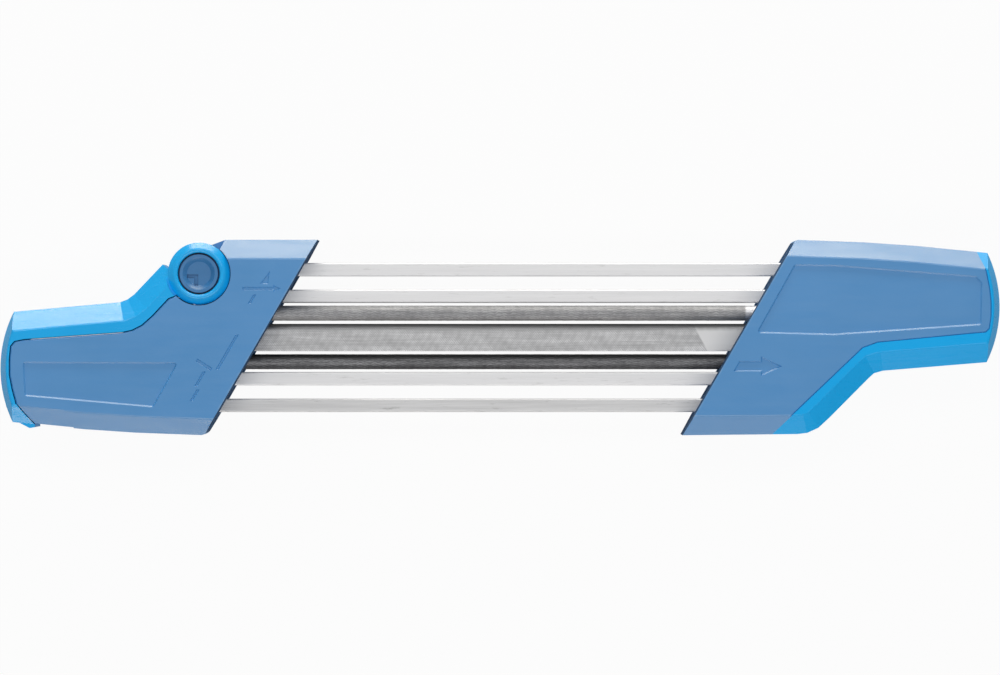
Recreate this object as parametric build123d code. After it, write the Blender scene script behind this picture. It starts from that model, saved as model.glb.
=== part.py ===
from build123d import *
from math import cos, radians, sin, tan
import os

os.makedirs("parts", exist_ok=True)

# All lengths are millimetres. +X runs along the files towards the fixed handle,
# +Y runs across them towards the pivot side, and +Z points up from the rear faces.
# The pivoting cover is on the handle at the -X end.

# Files and rails
round_file_diameter = 5.16
flat_file_width = 9.24
file_gap = 1.0
rail_width = 4.5
rail_thickness = 2.4
rail_gap = 0.87
rail_spacing = 9.0
rail_insert = 18.0
rail_edge_round = 0.5
depth_gauge_setting = 0.65
round_file_rise_share = 0.3
file_tip_margin = 4.5
file_end_chamfer = 0.6
filing_angle = 30.0

# Handles
open_length = 160.4
handle_reach = 87.45
handle_thickness = 28.0
case_margin = 7.65
case_wall = 2.4
case_face_wall = 2.6
edge_wall = 3.5
side_bevel_width = 6.4
lower_bevel_width = 5.6
side_bevel_depth = 5.0
end_radius = 42.0
end_bevel_width = 2.4
hook_relief_depth = 0.3
end_wall = 2.6
deep_cavity_inset = 8.6
seam_gap = 0.3
crease_round = 0.8
crease_side_share = 0.45
corner_round = 2.5
seam_bevel = 0.4

# Rail carriers and pins
carrier_length = 17.0
carrier_side_gap = 1.2
rail_pin_diameter = 3.0
rail_pin_setback = 7.5
rail_pin_length = 14.0
file_running_gap = 0.1
case_opening_gap = 0.4

# Pivot, cover ring and clamp
pivot_setback = 20.6
ring_radius = 10.4
ring_inset = 1.0
ring_depth = 6.0
ring_bore = 7.0
ring_bevel_width = 2.1
ring_round = 0.8
ring_groove_width = 0.7
ring_groove_depth = 1.7
neck_angle = 68.0
boss_wall = 1.5
boss_plate = 2.0
pin_radius = 2.5
pin_end_gap = 3.4
cam_radius = 4.5
cam_offset = 0.55
cam_thickness = 5.0
cam_running_gap = 0.08
pin_running_gap = 0.05
cover_travel_angle = 95.0
yoke_radius = 7.8
yoke_side_gap = 0.3
clamp_thickness = 3.5
clamp_depth = 15.4
clamp_foot = 0.5
clamp_head = 2.0
clamp_guide_width = 2.4
clamp_guide_overlap = 1.6
button_radius = 6.4
button_flange = 2.0
button_recess = 0.6
button_rim = 1.0
button_dish_depth = 1.4
button_slot_width = 1.3
button_slot_depth = 0.9
button_slot_shift = 0.9

# Cover hook
hook_arc_radius = 75.0
hook_inset = 5.0

# Marks on the faces
panel_depth = 0.5
panel_corner_round = 1.0
panel_edge_slope = 0.5
arrow_depth = 0.5
arrow_edge_slope = 0.4
mark_width = 0.95
mark_depth = 0.35
mark_edge_slope = 0.3

# Stop for the file tails
stop_thickness = 3.0
stop_margin = 0.25

overrun = 5.0

# Places that follow from the sizes above
mid_z = handle_thickness / 2
file_radius = round_file_diameter / 2
flat_file_thickness = rail_thickness + 2 * depth_gauge_setting
round_file_y = flat_file_width / 2 + file_gap + file_radius
round_file_rise = rail_thickness / 2 + round_file_rise_share * round_file_diameter
inner_rail_y = round_file_y + file_radius + rail_gap + rail_width / 2
outer_rail_y = inner_rail_y + rail_spacing
half_width = outer_rail_y + rail_width / 2 + case_margin
inner_edge_x = open_length / 2
outer_end_x = inner_edge_x + handle_reach
pivot_x = -inner_edge_x - pivot_setback
pivot_y = half_width - ring_radius - ring_inset
file_tip_x = pivot_x - clamp_thickness / 2 - file_tip_margin
file_reach = round_file_y + file_radius
edge_lean = tan(radians(filing_angle))
edge_wall_run = edge_wall / cos(radians(filing_angle))
carrier_end_x = inner_edge_x + edge_wall_run + carrier_length
stop_x = carrier_end_x + (file_reach + stop_margin) * edge_lean + seam_gap
file_tail_x = stop_x - seam_gap
cavity_low = side_bevel_depth + crease_round
cavity_high = handle_thickness - cavity_low
deep_low = case_face_wall
deep_high = handle_thickness - case_face_wall
boss_low = ring_depth + seam_gap
boss_high = handle_thickness - boss_low
boss_bore = ring_radius - boss_wall
half_turn = Rot(0, 0, 180)


def edge_x(y):
    """X of the slanted inner edge of the pivot handle at a height Y."""
    return -inner_edge_x + y * edge_lean


def handle_point(reach_share, width_share):
    """Plan point of the pivot handle, in shares of its reach and of its half width."""
    return (-inner_edge_x - reach_share * handle_reach, width_share * half_width)


def prism(points, low, high):
    """Straight solid over a closed plan outline, between two heights."""
    outline = Polygon(*points, align=None)
    return extrude(Pos(0, 0, low) * outline, amount=high - low, dir=(0, 0, 1))


def block(x_low, x_high, y_low, y_high, z_low, z_high):
    """Box between two planes along each axis."""
    centre = Pos((x_low + x_high) / 2, (y_low + y_high) / 2, (z_low + z_high) / 2)
    return centre * Box(x_high - x_low, y_high - y_low, z_high - z_low)


def disc(x, y, radius, low, high):
    """Upright cylinder about a plan point, between two heights."""
    return Pos(x, y, (low + high) / 2) * Cylinder(radius, high - low)


def rod(x_low, x_high, y, z, radius):
    """Cylinder that runs along X."""
    return Pos((x_low + x_high) / 2, y, z) * Rot(0, 90, 0) * Cylinder(radius, x_high - x_low)


def flipped(shape):
    """The same shape mirrored through the middle plane of the tool."""
    return mirror(shape, about=Plane.XY.offset(mid_z))


def inset(points, widths):
    """Move each edge of a counter-clockwise outline inwards by its own width."""
    lines = []
    for index, width in enumerate(widths):
        start = Vector(*points[index])
        finish = Vector(*points[(index + 1) % len(points)])
        along = (finish - start).normalized()
        inward = Vector(-along.Y, along.X)
        lines.append((start + inward * width, along))
    corners = []
    for index in range(len(points)):
        base, along = lines[index - 1]
        other_base, other_along = lines[index]
        apart = other_base - base
        turn = along.X * other_along.Y - along.Y * other_along.X
        step = (apart.X * other_along.Y - apart.Y * other_along.X) / turn
        corner = base + along * step
        corners.append((corner.X, corner.Y))
    return corners


# Plan outlines of the handles. The fixed handle is drawn in the place of the pivot
# handle and then turned half round about Z, so both are described the same way.
end_run_share = 1.06
lower_plan = [
    handle_point(end_run_share, -0.836),
    handle_point(0.850, -0.893),
    handle_point(0.680, -0.938),
    handle_point(0.479, -0.974),
]
edge_plan = [
    (edge_x(-half_width), -half_width),
    (edge_x(half_width), half_width),
]
pivot_plan = edge_plan + [
    (pivot_x + 0.82 * ring_radius, half_width),
    (pivot_x, pivot_y - 0.60 * ring_radius),
    (pivot_x - 1.19 * ring_radius, pivot_y + 0.30 * ring_radius),
    handle_point(0.486, 0.442),
    handle_point(0.512, 0.390),
    handle_point(0.540, 0.361),
    handle_point(end_run_share, 0.238),
] + lower_plan
pivot_bevels = [0, side_bevel_width, 0, 0] + [side_bevel_width] * 4 + [0]
pivot_bevels += [lower_bevel_width] * len(lower_plan)
fixed_plan = edge_plan + [
    handle_point(0.225, 0.988),
    handle_point(0.262, 0.976),
    handle_point(0.304, 0.925),
    handle_point(0.345, 0.825),
    handle_point(0.497, 0.417),
    handle_point(0.518, 0.366),
    handle_point(0.552, 0.340),
    handle_point(end_run_share, 0.229),
] + lower_plan
fixed_bevels = [0] + [side_bevel_width] * 8 + [0] + [lower_bevel_width] * len(lower_plan)

# Seam between the shells and the bright cover, from the end wall to the ring
cover_seam = [
    handle_point(0.931, -0.729),
    handle_point(0.952, -0.520),
    handle_point(0.962, -0.380),
    handle_point(0.962, -0.220),
    handle_point(0.957, -0.085),
    handle_point(0.941, -0.036),
    handle_point(0.905, -0.016),
    handle_point(0.530, 0.056),
    handle_point(0.492, 0.078),
    handle_point(0.455, 0.128),
    handle_point(0.415, 0.222),
    handle_point(0.352, 0.402),
    handle_point(0.328, 0.424),
    (pivot_x, pivot_y),
]
trim_seam = [
    handle_point(0.905, -1.05),
    handle_point(0.911, -0.881),
    handle_point(0.945, -0.673),
    handle_point(0.958, -0.494),
    handle_point(0.963, -0.369),
    handle_point(0.963, -0.213),
    handle_point(0.956, -0.090),
    handle_point(0.942, -0.052),
    handle_point(0.890, -0.040),
    handle_point(0.528, 0.052),
    handle_point(0.471, 0.107),
    handle_point(0.213, 0.762),
    handle_point(0.105, 1.05),
]


def end_limit(shrink):
    """Space that a handle may fill: rounded and bevelled at its outer end."""
    centre_x = -outer_end_x + end_radius
    centre_y = -0.314 * half_width
    radius = end_radius - shrink
    wall = disc(centre_x, centre_y, radius, side_bevel_depth, handle_thickness - side_bevel_depth)
    cap = Cone(radius, radius - end_bevel_width, side_bevel_depth)
    top = Pos(centre_x, centre_y, handle_thickness - side_bevel_depth / 2) * cap
    inner = block(centre_x, 0, -2 * half_width, 2 * half_width, 0, handle_thickness)
    return wall + top + flipped(top) + inner


def round_corner():
    """Space outside the rounded corner between the slanted edge and the lower side."""
    corner = (edge_x(-half_width), -half_width)
    reach = 2 * corner_round
    points = [
        corner,
        (corner[0] + reach * edge_lean, corner[1] + reach),
        (corner[0] - reach, corner[1] + reach),
        (corner[0] - reach, corner[1]),
    ]
    whole = prism(points, 0, handle_thickness)
    place = Vector(*corner, mid_z)
    sharp = min(whole.edges().filter_by(Axis.Z), key=lambda edge: (edge.center() - place).length)
    return whole - fillet(sharp, corner_round)


def handle_form(plan, bevels):
    """Outer form of a handle: straight sides with bevels to both faces."""
    low = side_bevel_depth
    high = handle_thickness - side_bevel_depth
    body = prism(plan, low, high)
    side = Pos(0, 0, high) * Polygon(*plan, align=None)
    face = Pos(0, 0, handle_thickness) * Polygon(*inset(plan, bevels), align=None)
    top = loft([side, face], ruled=True)
    return (body + top + flipped(top)) & end_limit(0)


def handle_cavity(plan, outer_wall):
    """Hollow of a handle: full width at mid height and narrower under the faces."""
    walls = [edge_wall] + [case_wall] * (len(plan) - 1)
    deep_walls = [edge_wall] + [deep_cavity_inset] * (len(plan) - 1)
    wide = prism(inset(plan, walls), cavity_low, cavity_high)
    deep = prism(inset(plan, deep_walls), deep_low, deep_high)
    return (wide + deep) & end_limit(outer_wall)


def slanted_block(start, length, reach, low, high):
    """Block behind the slanted inner edge, from a setback and over a length."""
    points = [
        (edge_x(-reach) - start - length, -reach),
        (edge_x(-reach) - start, -reach),
        (edge_x(reach) - start, reach),
        (edge_x(reach) - start - length, reach),
    ]
    return prism(points, low, high)


def rail_heights():
    """Y of the four rails, from the pivot side to the lower side."""
    return [outer_rail_y, inner_rail_y, -inner_rail_y, -outer_rail_y]


def rail_bar(y, gap):
    """One rail strip across both handles, or the slot for it with a gap."""
    half = rail_width / 2 + gap
    rise = rail_thickness / 2 + gap
    low_x = edge_x(y) - rail_insert
    high_x = edge_x(y) + open_length + rail_insert
    return block(low_x, high_x, y - half, y + half, mid_z - rise, mid_z + rise)


def file_space(x_low, x_high, gap, drop):
    """Windows for the three files, each longer by a drop on its lower side."""
    half = file_radius + gap
    rise = flat_file_thickness / 2 + gap
    space = file_bridges(x_low, x_high, rise)
    places = [
        (round_file_y, mid_z + round_file_rise),
        (-round_file_y, mid_z - round_file_rise),
    ]
    for y, z in places:
        space += rod(x_low, x_high, y, z, half)
        if drop > 0:
            space += rod(x_low, x_high, y - drop, z, half)
            space += block(x_low, x_high, y - drop, y, z - half, z + half)
    flat_half = flat_file_width / 2 + gap
    return space + block(x_low, x_high, -flat_half - drop, flat_half, mid_z - rise, mid_z + rise)


def file_bridges(x_low, x_high, rise):
    """Clear the thin webs that would stand between neighbouring file windows."""
    upper = block(x_low, x_high, 0, round_file_y, mid_z, mid_z + rise)
    lower = block(x_low, x_high, -round_file_y, 0, mid_z - rise, mid_z)
    return upper + lower


def pin_places(side):
    """Plan places of the rail pins in the handle at -X (side -1) or +X (side 1)."""
    places = []
    for y in rail_heights():
        if side < 0:
            places.append((edge_x(y) - edge_wall_run - rail_pin_setback, y))
        else:
            places.append((edge_x(y) + open_length + edge_wall_run + rail_pin_setback, y))
    return places


def rail_pins(side, gap):
    """Four upright pins through the rails of one handle."""
    low = mid_z - rail_pin_length / 2
    high = mid_z + rail_pin_length / 2
    pins = Part()
    for x, y in pin_places(side):
        pins += disc(x, y, rail_pin_diameter / 2 + gap, low, high)
    return pins


def rail_carrier(side):
    """Block inside a handle that holds the rail ends and guides the files."""
    reach = half_width - case_wall - carrier_side_gap
    body = slanted_block(edge_wall_run, carrier_length, reach, cavity_low, cavity_high)
    if side > 0:
        body = half_turn * body
    for y in rail_heights():
        body -= rail_bar(y, 0)
    body -= file_space(-outer_end_x, outer_end_x, file_running_gap, 0)
    if side < 0:
        body -= clamp_side()
    return body - rail_pins(side, 0)


def clamp_side():
    """Room for the clamp plate, between the carrier and the outer end of the handle."""
    x_high = pivot_x + clamp_thickness / 2 + seam_gap
    y_low = rail_width / 2 - inner_rail_y
    room = block(-outer_end_x, x_high, y_low, half_width, 0, handle_thickness)
    return room + disc(pivot_x, pivot_y, ring_radius + seam_gap, 0, handle_thickness)


def rail(y):
    """One guide rail with rounded long edges and a pin hole at each end."""
    bar = rail_bar(y, 0)
    bar = fillet(bar.edges().filter_by(Axis.X), rail_edge_round)
    return bar - rail_pins(-1, 0) - rail_pins(1, 0)


def round_file(y, z):
    """Round file, straight, with a small chamfer at each end."""
    body = rod(file_tip_x, file_tail_x, y, z, file_radius)
    return chamfer(body.edges().filter_by(GeomType.CIRCLE), file_end_chamfer)


def flat_file():
    """Flat depth gauge file, thicker than the rails by the setting on each face."""
    half = flat_file_width / 2
    rise = flat_file_thickness / 2
    body = block(file_tip_x, file_tail_x, -half, half, mid_z - rise, mid_z + rise)
    return chamfer(body.edges().filter_by(Axis.Z), file_end_chamfer)


def ring_pocket(gap):
    """Round pockets in both faces that the cover ring turns in."""
    front = disc(pivot_x, pivot_y, ring_radius + gap, boss_high, handle_thickness + overrun)
    return front + flipped(front)


def clamp_room():
    """Hollow round the cam, with a way down to the files."""
    low = boss_low + boss_plate
    high = boss_high - boss_plate
    room = disc(pivot_x, pivot_y, boss_bore, low, high)
    half = clamp_thickness / 2 + seam_gap
    way = block(pivot_x - half, pivot_x + half, 0, pivot_y, low, high)
    return room + way


def clamp_guides():
    """Ribs behind the clamp plate, in front of and behind the files."""
    x_high = pivot_x - clamp_thickness / 2 - seam_gap
    z_low = mid_z + clamp_depth / 2 - clamp_guide_overlap
    front = block(x_high - clamp_guide_width, x_high, -file_reach, file_reach, z_low, deep_high)
    return front + flipped(front)


def case_openings():
    """Openings in the slanted end walls for the rails and the files."""
    openings = file_space(-outer_end_x, outer_end_x, case_opening_gap, 0)
    for y in rail_heights():
        openings += rail_bar(y, 0)
    return openings


def sunk_area(points, depth, round_radius, slope):
    """Cutter for a shallow area in both faces, with sloped edges."""
    area = prism(points, handle_thickness - depth, handle_thickness + overrun)
    if round_radius > 0:
        area = fillet(area.edges().filter_by(Axis.Z), round_radius)
    area = chamfer(area.edges().group_by(Axis.Z)[0], slope)
    return area + flipped(area)


def label_panel():
    """Shallow bare panel on the grip of the pivot handle."""
    points = [
        handle_point(0.909, -0.247),
        handle_point(0.902, -0.597),
        handle_point(0.408, -0.713),
        handle_point(0.312, -0.252),
    ]
    return sunk_area(points, panel_depth, panel_corner_round, panel_edge_slope)


def wide_panel():
    """Shallow bare panel on the fixed handle, drawn in the pivot handle's place."""
    points = [
        handle_point(0.209, -0.746),
        handle_point(0.364, -0.741),
        handle_point(0.905, -0.628),
        handle_point(0.928, -0.560),
        handle_point(0.925, -0.127),
        handle_point(0.359, -0.024),
        handle_point(0.062, -0.045),
    ]
    return sunk_area(points, panel_depth, panel_corner_round, panel_edge_slope)


def arrow_mark():
    """Sunk arrow that points out along the fixed handle."""
    points = [
        handle_point(-0.002, 0.241),
        handle_point(-0.025, 0.345),
        handle_point(0.081, 0.345),
        handle_point(0.081, 0.395),
        handle_point(0.162, 0.293),
        handle_point(0.081, 0.191),
        handle_point(0.081, 0.241),
    ]
    return sunk_area(points, arrow_depth, 0, arrow_edge_slope)


def seam_outline(seam):
    """Closed plan outline of everything on the cover's side of a seam."""
    far = 2 * outer_end_x
    return seam + [(seam[-1][0], far), (-far, far), (-far, seam[0][1])]


def seam_edge(seam, gap):
    """Cutter that slopes the face edge of a shell along a seam."""
    points = seam_outline(seam)
    low_points = inset(points, [-gap] * len(points))
    high_points = inset(points, [-gap - seam_bevel] * len(points))
    low = Pos(0, 0, handle_thickness - seam_bevel) * Polygon(*low_points, align=None)
    high = Pos(0, 0, handle_thickness) * Polygon(*high_points, align=None)
    edge = loft([low, high], ruled=True)
    return edge + flipped(edge)


def angle_marks():
    """Sunk marks that show the filing angle: dashes along the slanted edge, a bar
    square to them, and an arrow with a pointer across them."""
    bar = [
        handle_point(0.248, -0.244),
        handle_point(0.190, -0.342),
        handle_point(0.182, -0.311),
        handle_point(0.241, -0.213),
    ]
    arrow = [
        handle_point(0.068, 0.483),
        handle_point(-0.050, 0.483),
        handle_point(-0.050, 0.463),
        handle_point(-0.078, 0.500),
        handle_point(-0.050, 0.537),
        handle_point(-0.050, 0.517),
        handle_point(0.068, 0.517),
    ]
    pointer = [
        handle_point(0.001, 0.549),
        handle_point(-0.030, 0.543),
        handle_point(-0.037, 0.680),
    ]
    marks = Part()
    for points in (bar, arrow, pointer):
        marks += sunk_area(points, mark_depth, 0, mark_edge_slope)
    dash_shares = [(0.110, 0.345, 0.439), (0.088, -0.330, 0.030), (0.133, -0.497, -0.345),
                   (0.117, -0.646, -0.530)]
    for setback_share, low_share, high_share in dash_shares:
        marks += edge_dash(setback_share * handle_reach, low_share * half_width, high_share * half_width)
    return marks


def edge_dash(setback, y_low, y_high):
    """Sunk dash along the slanted edge, set back from it."""
    run = mark_width / cos(radians(filing_angle))
    points = [
        (edge_x(y_low) - setback - run, y_low),
        (edge_x(y_low) - setback, y_low),
        (edge_x(y_high) - setback, y_high),
        (edge_x(y_high) - setback - run, y_high),
    ]
    return sunk_area(points, mark_depth, 0, mark_edge_slope)


def beyond_seam(seam, gap):
    """Tall region on the cover's side of a seam, grown by a gap."""
    region = Polygon(*seam_outline(seam), align=None)
    if gap > 0:
        region = offset(region, amount=gap, kind=Kind.INTERSECTION)
    height = handle_thickness + 2 * overrun
    return extrude(Pos(0, 0, -overrun) * region, amount=height, dir=(0, 0, 1))


def hook_region(radius):
    """Corner beyond an arc about the pivot, at the lower outer end of the grip."""
    x_low, y_low = -2 * outer_end_x, -2 * half_width
    x_high = handle_point(0.862, 0)[0]
    y_high = handle_point(0, -0.680)[1]
    corner = block(x_low, x_high, y_low, y_high, -overrun, handle_thickness + overrun)
    return corner - disc(pivot_x, pivot_y, radius, -overrun, handle_thickness + overrun)


def cover_hook():
    """Lip at the end of the cover that wraps the lower corner of the grip."""
    points = [
        handle_point(0.925, -0.700),
        handle_point(0.979, -0.700),
        handle_point(0.952, -0.838),
        handle_point(0.888, -0.927),
        handle_point(0.868, -0.918),
        handle_point(0.868, -0.850),
    ]
    lip = prism(points, hook_inset, handle_thickness - hook_inset)
    return lip - disc(pivot_x, pivot_y, hook_arc_radius, 0, handle_thickness)


def ring_ears():
    """Rings of the cover in front of and behind the shells, bevelled like the band."""
    low = handle_thickness - ring_depth
    bevel_depth = ring_bevel_width * side_bevel_depth / side_bevel_width
    bevel = Cone(ring_radius, ring_radius - ring_bevel_width, bevel_depth)
    ear = disc(pivot_x, pivot_y, ring_radius, low, handle_thickness - bevel_depth)
    ear += Pos(pivot_x, pivot_y, handle_thickness - bevel_depth / 2) * bevel
    ear -= disc(pivot_x, pivot_y, ring_bore, low, handle_thickness)
    rims = ear.edges().filter_by(GeomType.CIRCLE).group_by(Axis.Z)[-1]
    ear = fillet(rims, ring_round)
    return ear + flipped(ear)


def ring_surround():
    """Space taken out of the cover's band for the rings and the groove around them."""
    low = handle_thickness - ring_groove_depth
    space = disc(pivot_x, pivot_y, ring_radius + ring_groove_width, low, handle_thickness + overrun)
    return space + flipped(space)


def rounded_form(plan, bevels):
    """Outer form of a handle with creases softened as far as its shortest side allows."""
    form = handle_form(plan, bevels)
    creases = []
    sides = []
    for edge in form.edges():
        ends = (edge.position_at(0), edge.position_at(1))
        height = abs(ends[0].Z - mid_z)
        on_face = height > mid_z - crease_round
        level = abs(ends[0].Z - ends[1].Z) < crease_round
        middle = edge.position_at(0.5)
        clear_of_edge = middle.X < edge_x(middle.Y) - crease_round
        clear_of_ring = (middle - Vector(pivot_x, pivot_y, middle.Z)).length > ring_bore
        if on_face and level:
            sides.append(edge.length)
        if on_face and level and clear_of_edge and clear_of_ring:
            creases.append(edge)
    radius = min(crease_round, crease_side_share * min(sides))
    return fillet(creases, radius) - round_corner()


def ring_neck():
    """Low web that joins the ring boss to the top of the pivot handle."""
    turn = radians(neck_angle)
    points = [
        (pivot_x, pivot_y),
        (pivot_x + ring_radius, pivot_y),
        (pivot_x + ring_radius, half_width),
        (pivot_x + 0.82 * ring_radius, half_width),
        (pivot_x + ring_radius * cos(turn), pivot_y + ring_radius * sin(turn)),
    ]
    return prism(points, boss_low, boss_high)


def hook_relief():
    """What is taken off the lower bevels beside the hook: a shallow step that ends on
    a slanted line, so that the hook's lip springs past."""
    lowered = [0] * (len(pivot_plan) - len(lower_plan)) + [hook_relief_depth] * len(lower_plan)
    points = [
        handle_point(1.05, -1.05),
        handle_point(0.697, -1.05),
        handle_point(0.766, -0.65),
        handle_point(1.05, -0.65),
    ]
    return prism(points, 0, handle_thickness) - handle_form(inset(pivot_plan, lowered), pivot_bevels)


def pivot_handle_case():
    """Both shells of the pivot handle in one piece, before they are parted."""
    form = rounded_form(pivot_plan, pivot_bevels)
    form -= beyond_seam(cover_seam, seam_gap)
    form -= seam_edge(cover_seam, seam_gap)
    form -= hook_region(hook_arc_radius - seam_gap)
    boss = disc(pivot_x, pivot_y, ring_radius, boss_low, boss_high)
    cavity = handle_cavity(pivot_plan, 0)
    case = (form - cavity) + (boss - (cavity & boss)) + ring_neck()
    plates = boss - disc(pivot_x, pivot_y, ring_radius, boss_low + boss_plate, boss_high - boss_plate)
    case = case + plates - clamp_room() - ring_pocket(seam_gap)
    case += clamp_guides()
    case -= case_openings()
    case -= disc(pivot_x, pivot_y, pin_radius + pin_running_gap, 0, handle_thickness)
    return case - label_panel() - angle_marks() - hook_relief()


def fixed_handle_case():
    """Both shells of the fixed handle in one piece, in their own place."""
    form = rounded_form(fixed_plan, fixed_bevels)
    case = form - beyond_seam(trim_seam, 0) - seam_edge(trim_seam, 0) - handle_cavity(fixed_plan, 0)
    case -= wide_panel()
    case -= arrow_mark()
    return half_turn * case - case_openings()


def front_half(case):
    """The half of a case above the parting plane."""
    return case & block(-2 * outer_end_x, 2 * outer_end_x, -2 * half_width, 2 * half_width,
                        mid_z, handle_thickness)


def rear_half(case):
    """The half of a case below the parting plane."""
    return case & block(-2 * outer_end_x, 2 * outer_end_x, -2 * half_width, 2 * half_width, 0, mid_z)


def locking_cover():
    """Cover over the grip: top band, end wall, hook and the two pivot rings."""
    form = rounded_form(pivot_plan, pivot_bevels)
    band = form & beyond_seam(cover_seam, 0)
    band += form & hook_region(hook_arc_radius)
    band -= handle_cavity(pivot_plan, end_wall)
    band -= disc(pivot_x, pivot_y, ring_radius + seam_gap, ring_depth, handle_thickness - ring_depth)
    band -= disc(pivot_x, pivot_y, ring_bore, 0, handle_thickness)
    return band - ring_surround() + cover_hook() + ring_ears()


def right_end_trim():
    """Bright trim of the fixed handle, the same shape family as the cover."""
    form = rounded_form(fixed_plan, fixed_bevels)
    trim = (form & beyond_seam(trim_seam, 0)) - handle_cavity(fixed_plan, end_wall)
    return half_turn * trim


def pivot_pin():
    """Turned pin with an eccentric cam at mid height."""
    pin = disc(pivot_x, pivot_y, pin_radius, pin_end_gap, handle_thickness - pin_end_gap)
    cam_x, cam_y = cam_centre()
    low = mid_z - cam_thickness / 2
    return pin + disc(cam_x, cam_y, cam_radius, low, low + cam_thickness)


def cam_centre():
    """Centre of the cam with the cover shut; opening lifts it evenly."""
    swing = radians(cover_travel_angle / 2)
    side = (1 - sin(swing) ** 2) ** 0.5
    return pivot_x - cam_offset * side, pivot_y - cam_offset * sin(swing)


def pivot_button():
    """Front button that closes the ring, with a dished face and a coin slot."""
    seat = handle_thickness - ring_depth
    body = disc(pivot_x, pivot_y, ring_bore, seat, seat + button_flange)
    top = handle_thickness - button_recess
    body += disc(pivot_x, pivot_y, button_radius, seat, top)
    dish_radius = button_radius - button_rim
    dish = Cone(dish_radius - button_dish_depth, dish_radius, button_dish_depth)
    body -= Pos(pivot_x, pivot_y, top - button_dish_depth / 2) * dish
    slot_low = top - button_dish_depth - button_slot_depth
    reach = dish_radius - button_dish_depth
    corner_x = pivot_x - button_slot_shift
    corner_y = pivot_y - button_slot_shift
    half = button_slot_width / 2
    body -= block(pivot_x - reach, corner_x + half, corner_y - half, corner_y + half, slot_low, top)
    body -= block(corner_x - half, corner_x + half, pivot_y - reach, corner_y, slot_low, top)
    return body - disc(pivot_x, pivot_y, pin_radius, seat, handle_thickness - pin_end_gap)


def file_clamp():
    """Plate with file windows, hung from a yoke round the cam."""
    cam_x, cam_y = cam_centre()
    low = mid_z - cam_thickness / 2 + yoke_side_gap
    high = mid_z + cam_thickness / 2 - yoke_side_gap
    yoke = disc(pivot_x, cam_y, yoke_radius, low, high)
    window_x = cam_radius + cam_offset + cam_running_gap
    window_y = cam_radius + cam_running_gap
    yoke -= block(pivot_x - window_x, pivot_x + window_x, cam_y - window_y, cam_y + window_y, low, high)
    half = clamp_thickness / 2
    neck = block(pivot_x - half, pivot_x + half, file_reach, cam_y - yoke_radius + overrun / 2, low, high)
    neck -= disc(pivot_x, cam_y, window_y, low, high)
    z_low = mid_z - clamp_depth / 2
    z_high = mid_z + clamp_depth / 2
    y_low = -file_reach - clamp_foot
    lift = 2 * (pivot_y - cam_y)
    y_high = pivot_y - ring_radius - lift - seam_gap
    plate = block(pivot_x - half, pivot_x + half, y_low, y_high, z_low, z_high)
    head_low = boss_low + boss_plate + seam_gap
    head_high = boss_high - boss_plate - seam_gap
    plate += block(pivot_x - half, pivot_x + half, 0, file_reach + clamp_head, head_low, head_high)
    plate -= file_space(pivot_x - half, pivot_x + half, file_running_gap, lift)
    return plate + neck + yoke


def file_stop():
    """Pad behind the file tails in the fixed handle."""
    half = file_reach + stop_margin
    return block(stop_x, stop_x + stop_thickness, -half, half, deep_low, deep_high)


def build_parts():
    """Every node of the file guide, by name."""
    pivot_case = pivot_handle_case()
    fixed_case = fixed_handle_case()
    button = pivot_button()
    front_z = mid_z + round_file_rise
    rear_z = mid_z - round_file_rise
    return {
        "left_front_shell": front_half(pivot_case),
        "left_rear_shell": rear_half(pivot_case),
        "left_rail_carrier": rail_carrier(-1),
        "left_rail_pins": rail_pins(-1, 0),
        "outer_rail_upper": rail(outer_rail_y),
        "inner_rail_upper": rail(inner_rail_y),
        "inner_rail_lower": rail(-inner_rail_y),
        "outer_rail_lower": rail(-outer_rail_y),
        "locking_cover": locking_cover(),
        "cover_pivot_pin": pivot_pin(),
        "pivot_button_front": button,
        "pivot_button_rear": flipped(button),
        "file_clamp": file_clamp(),
        "round_file_front": round_file(round_file_y, front_z),
        "round_file_rear": round_file(-round_file_y, rear_z),
        "flat_file": flat_file(),
        "right_front_shell": front_half(fixed_case),
        "right_rear_shell": rear_half(fixed_case),
        "right_rail_carrier": rail_carrier(1),
        "right_rail_pins": rail_pins(1, 0),
        "right_end_trim": right_end_trim(),
        "file_stop": file_stop(),
    }


for node, shape in build_parts().items():
    export_step(shape, f"parts/{node}.step")
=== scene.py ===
import math

import bpy
import numpy as np
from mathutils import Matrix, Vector


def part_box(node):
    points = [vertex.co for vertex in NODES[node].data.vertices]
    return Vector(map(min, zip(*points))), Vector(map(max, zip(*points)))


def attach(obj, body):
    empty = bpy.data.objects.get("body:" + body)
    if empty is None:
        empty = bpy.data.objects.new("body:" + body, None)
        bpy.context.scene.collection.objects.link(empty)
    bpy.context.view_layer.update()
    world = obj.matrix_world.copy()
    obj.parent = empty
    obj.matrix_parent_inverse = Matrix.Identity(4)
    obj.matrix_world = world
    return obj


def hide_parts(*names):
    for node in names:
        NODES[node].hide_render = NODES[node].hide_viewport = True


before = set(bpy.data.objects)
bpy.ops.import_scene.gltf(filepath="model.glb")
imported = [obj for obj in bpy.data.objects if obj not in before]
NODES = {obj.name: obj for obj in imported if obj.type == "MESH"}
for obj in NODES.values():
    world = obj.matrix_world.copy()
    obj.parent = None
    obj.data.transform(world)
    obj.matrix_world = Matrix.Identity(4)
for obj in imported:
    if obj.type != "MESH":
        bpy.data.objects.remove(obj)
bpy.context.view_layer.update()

# The file guide lies on its rear faces, with +X along the files towards the fixed
# handle, +Y towards the pivot side and +Z up at the camera. Lengths are in metres.
MM = 0.001

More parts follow.
